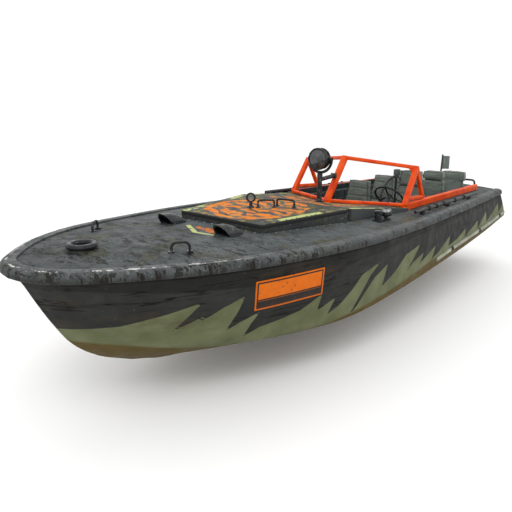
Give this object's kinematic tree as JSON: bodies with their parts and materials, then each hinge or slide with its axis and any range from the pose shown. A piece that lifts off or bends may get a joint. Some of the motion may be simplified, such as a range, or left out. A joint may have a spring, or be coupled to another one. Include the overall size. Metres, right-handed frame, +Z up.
{
  "type": "open patrol speedboat, inboard, six seats",
  "caption": "Open decked speedboat with a raked hull, hatch, searchlight, tube windscreen frame and rows of padded seats.",
  "frame": {"origin": "in the centre plane, at the middle of the length, at the waterline", "axes": "+X to port, -Y to the bow, +Z up"},
  "size_m": [2.4122, 7.0929, 1.855],
  "materials": {
    "hull": "weathered painted glass-fibre, charcoal over olive",
    "deck": "worn grey deck paint",
    "orange": "satin orange paint",
    "lid": "grey deck paint with a worn orange pattern",
    "dark": "worn black paint",
    "canvas": "grey-green coated canvas",
    "glass": "dusty lamp glass",
    "bronze": "bare bronze",
    "steel": "dull stainless steel",
    "inside": "dark grey paint"
  },
  "bodies": {
    "hull": {"hull_bow": "hull", "hull_bottom": "hull", "hull_side_port": "hull", "hull_side_starboard": "hull", "transom": "hull", "keel_bar": "hull", "foredeck": "deck", "side_deck_port": "deck", "side_deck_starboard": "deck", "aft_deck": "deck", "rub_rail_port": "deck", "rub_rail_starboard": "deck", "rub_rail_stern": "deck", "hatch_coaming": "deck", "cowl": "lid", "scoop_port": "dark", "scoop_starboard": "dark", "bow_ring": "dark", "deck_handle_port": "dark", "deck_handle_starboard": "dark", "deck_light": "dark", "pole_port": "dark", "pole_port_stand_fore": "dark", "pole_port_stand_mid": "dark", "pole_port_stand_aft": "dark", "pole_starboard": "dark", "pole_starboard_stand_fore": "dark", "pole_starboard_stand_mid": "dark", "pole_starboard_stand_aft": "dark", "stern_grab_rail": "dark", "flag_staff": "dark", "flag": "canvas", "windscreen_frame": "orange", "cockpit_rail_port": "orange", "cockpit_rail_starboard": "orange", "lamp_post": "dark", "bulkhead": "inside", "aft_bulkhead": "inside", "cockpit_sole": "inside", "helm_console": "inside", "seat_port_1": "canvas", "seat_port_2": "canvas", "seat_port_3": "canvas", "seat_starboard_1": "canvas", "seat_starboard_2": "canvas", "seat_starboard_3": "canvas", "engine": "dark", "shaft_strut": "steel"},
    "lid": {"hatch_lid": "lid", "lid_ring": "dark", "lid_handle_fore": "dark", "lid_handle_aft": "dark"},
    "lamp_fork": {"lamp_yoke": "dark"},
    "lamp": {"lamp_drum": "dark", "lamp_lens": "glass"},
    "wheel": {"steering_wheel": "dark"},
    "rudder": {"rudder": "steel"},
    "propeller": {"propeller": "bronze"}
  },
  "joints": [
    {"name": "lid_hinge", "type": "hinge", "parent": "hull", "child": "lid", "pos_m": [0, -0.42, 0.6], "axis": [-1, 0, 0], "range_deg": [0, 85]},
    {"name": "lamp_pan", "type": "hinge", "parent": "hull", "child": "lamp_fork", "pos_m": [0, 0.08, 0.838], "axis": [0, 0, 1], "range_deg": [-160, 160]},
    {"name": "lamp_tilt", "type": "hinge", "parent": "lamp_fork", "child": "lamp", "pos_m": [0, 0.08, 1], "axis": [-1, 0, 0], "range_deg": [-20, 60]},
    {"name": "steering", "type": "hinge", "parent": "hull", "child": "wheel", "pos_m": [0.36, 1.04, 0.5], "axis": [0, 0.7314, 0.682], "range_deg": [-540, 540]},
    {"name": "rudder_stock", "type": "hinge", "parent": "hull", "child": "rudder", "pos_m": [0, 3.22, -0.31], "axis": [0, 0, 1], "range_deg": [-35, 35]},
    {"name": "propeller_spin", "type": "hinge", "parent": "hull", "child": "propeller", "pos_m": [0, 2.86, -0.565], "axis": [0, 0.9903, -0.1392], "continuous": true}
  ],
  "couplings": [
    {"joint": "rudder_stock", "follows": "steering", "ratio": -0.0648}
  ]
}
